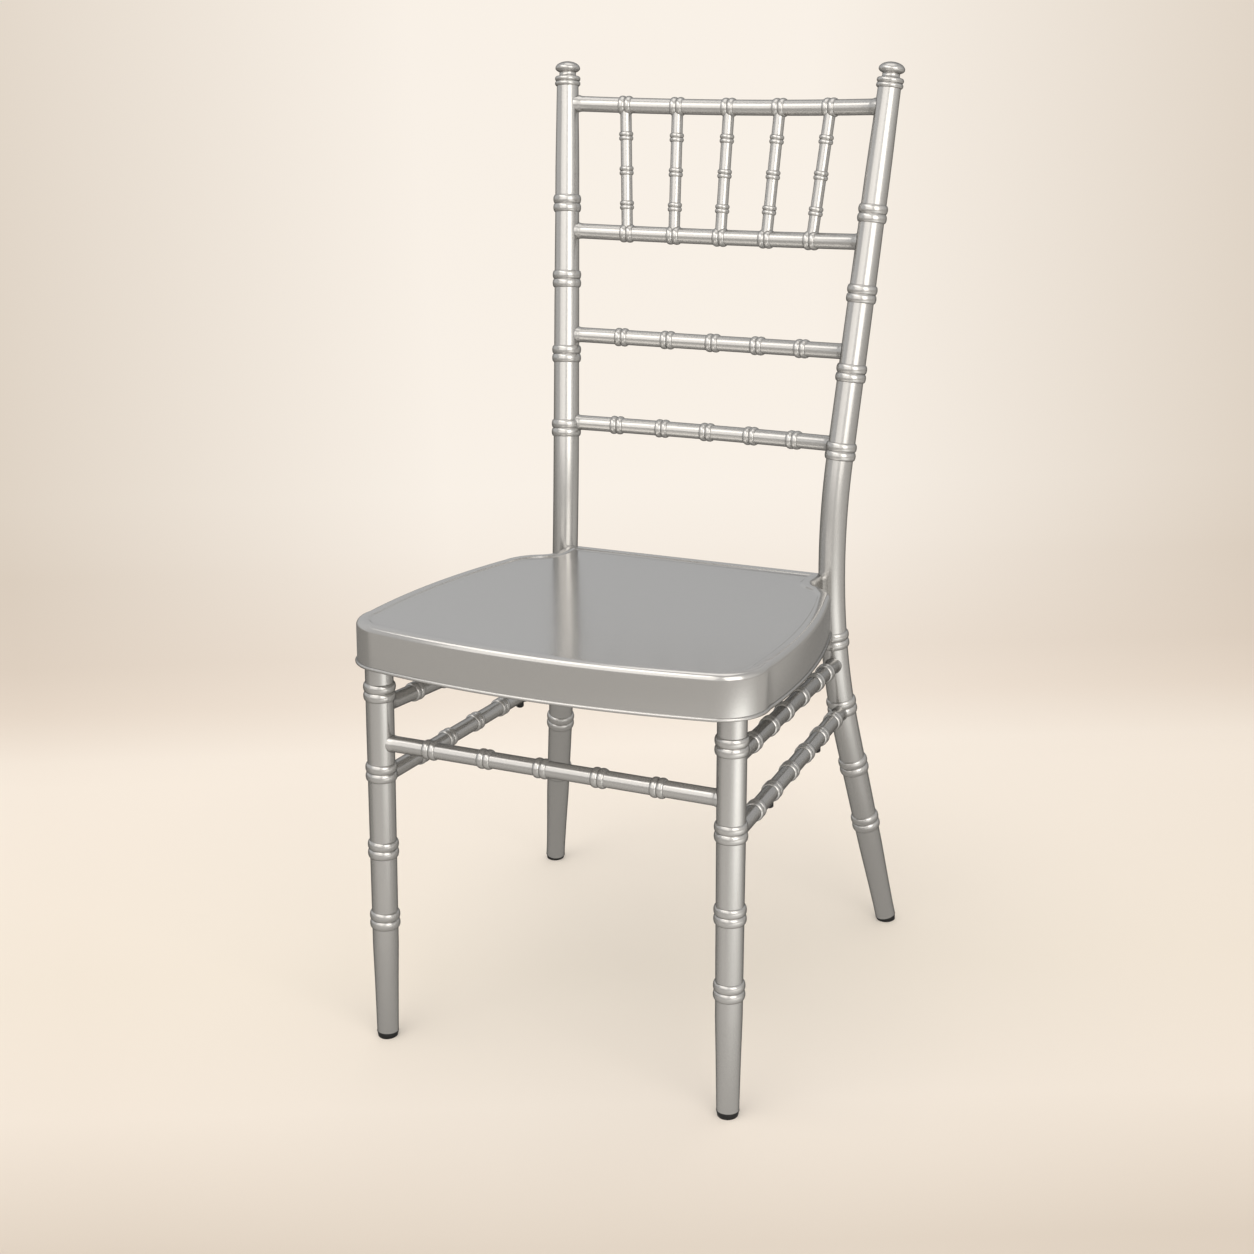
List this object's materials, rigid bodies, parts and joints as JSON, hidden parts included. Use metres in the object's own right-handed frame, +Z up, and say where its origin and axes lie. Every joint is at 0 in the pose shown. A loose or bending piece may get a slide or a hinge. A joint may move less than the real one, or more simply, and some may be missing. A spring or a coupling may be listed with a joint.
{
  "type": "banquet chair",
  "caption": "Stacking metal banquet chair with bamboo-turned legs and posts, a bowed ladder back with spindles, finials and a pressed seat pan.",
  "frame": {"origin": "on the floor under the middle of the chair's bounding box", "axes": "+Z up, front of the seat towards -Y, +X to the right as seen from the front"},
  "size_m": [0.4334, 0.5126, 0.9144],
  "materials": {
    "painted_frame": "satin silver paint",
    "foot_rubber": "matte black",
    "bumper_rubber": "matte black"
  },
  "bodies": {
    "root": {"seat_pan": "painted_frame", "front_leg_left": "painted_frame", "front_leg_right": "painted_frame", "rear_post_left": "painted_frame", "rear_post_right": "painted_frame", "crest_rail": "painted_frame", "second_rail": "painted_frame", "third_rail": "painted_frame", "fourth_rail": "painted_frame", "baluster_1": "painted_frame", "baluster_2": "painted_frame", "baluster_3": "painted_frame", "baluster_4": "painted_frame", "baluster_5": "painted_frame", "front_stretcher": "painted_frame", "side_stretcher_upper_left": "painted_frame", "side_stretcher_upper_right": "painted_frame", "side_stretcher_lower_left": "painted_frame", "side_stretcher_lower_right": "painted_frame", "foot_cap_front_left": "foot_rubber", "foot_cap_front_right": "foot_rubber", "foot_cap_rear_left": "foot_rubber", "foot_cap_rear_right": "foot_rubber", "bumper_front_left": "bumper_rubber", "bumper_front_right": "bumper_rubber", "bumper_rear_left": "bumper_rubber", "bumper_rear_right": "bumper_rubber"}
  },
  "joints": []
}
